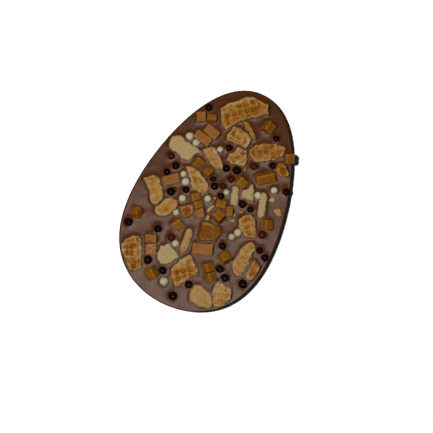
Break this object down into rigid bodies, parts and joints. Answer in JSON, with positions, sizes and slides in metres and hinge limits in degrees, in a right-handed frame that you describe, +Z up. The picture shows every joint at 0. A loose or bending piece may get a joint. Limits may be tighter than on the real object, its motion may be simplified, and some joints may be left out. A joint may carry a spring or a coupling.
{
  "type": "chocolate egg slab",
  "caption": "Flat egg-shaped milk chocolate slab with broken waffle and biscuit shards, fudge cubes and chocolate pearls set in its face.",
  "frame": {"origin": "middle of the flat underside, at half the egg's length and width", "axes": "+Z up from the flat underside to the toppings, +Y along the length to the narrow end, +X across the width"},
  "size_m": [0.083, 0.125, 0.0144],
  "materials": {
    "milk_chocolate": "soft gloss milk chocolate",
    "waffle": "dry matt baked wafer with a darker crust",
    "biscuit": "dry matt pale baked biscuit",
    "fudge": "satin brown fudge with worn edges"
  },
  "bodies": {
    "root": {"chocolate_slab": "milk_chocolate", "waffle_01": "waffle", "waffle_02": "waffle", "waffle_03": "waffle", "waffle_04": "waffle", "waffle_05": "waffle", "waffle_06": "waffle", "waffle_07": "waffle", "waffle_08": "waffle", "waffle_09": "waffle", "waffle_10": "waffle", "waffle_11": "waffle", "waffle_12": "waffle", "waffle_13": "waffle", "biscuit_01": "biscuit", "biscuit_02": "biscuit", "biscuit_03": "biscuit", "biscuit_04": "biscuit", "biscuit_05": "biscuit", "biscuit_06": "biscuit", "biscuit_07": "biscuit", "biscuit_08": "biscuit", "biscuit_09": "biscuit", "biscuit_10": "biscuit", "biscuit_11": "biscuit", "biscuit_12": "biscuit", "fudge_01": "fudge", "fudge_02": "fudge", "fudge_03": "fudge", "fudge_04": "fudge", "fudge_05": "fudge", "fudge_06": "fudge", "fudge_07": "fudge", "fudge_08": "fudge", "fudge_09": "fudge", "fudge_10": "fudge", "fudge_11": "fudge", "fudge_12": "fudge", "fudge_13": "fudge", "fudge_14": "fudge", "fudge_15": "fudge", "fudge_16": "fudge", "fudge_17": "fudge", "fudge_18": "fudge", "fudge_19": "fudge", "fudge_20": "fudge", "fudge_21": "fudge", "fudge_22": "fudge", "fudge_23": "fudge", "fudge_24": "fudge", "fudge_25": "fudge", "fudge_26": "fudge", "fudge_27": "fudge", "fudge_28": "fudge"}
  },
  "joints": []
}
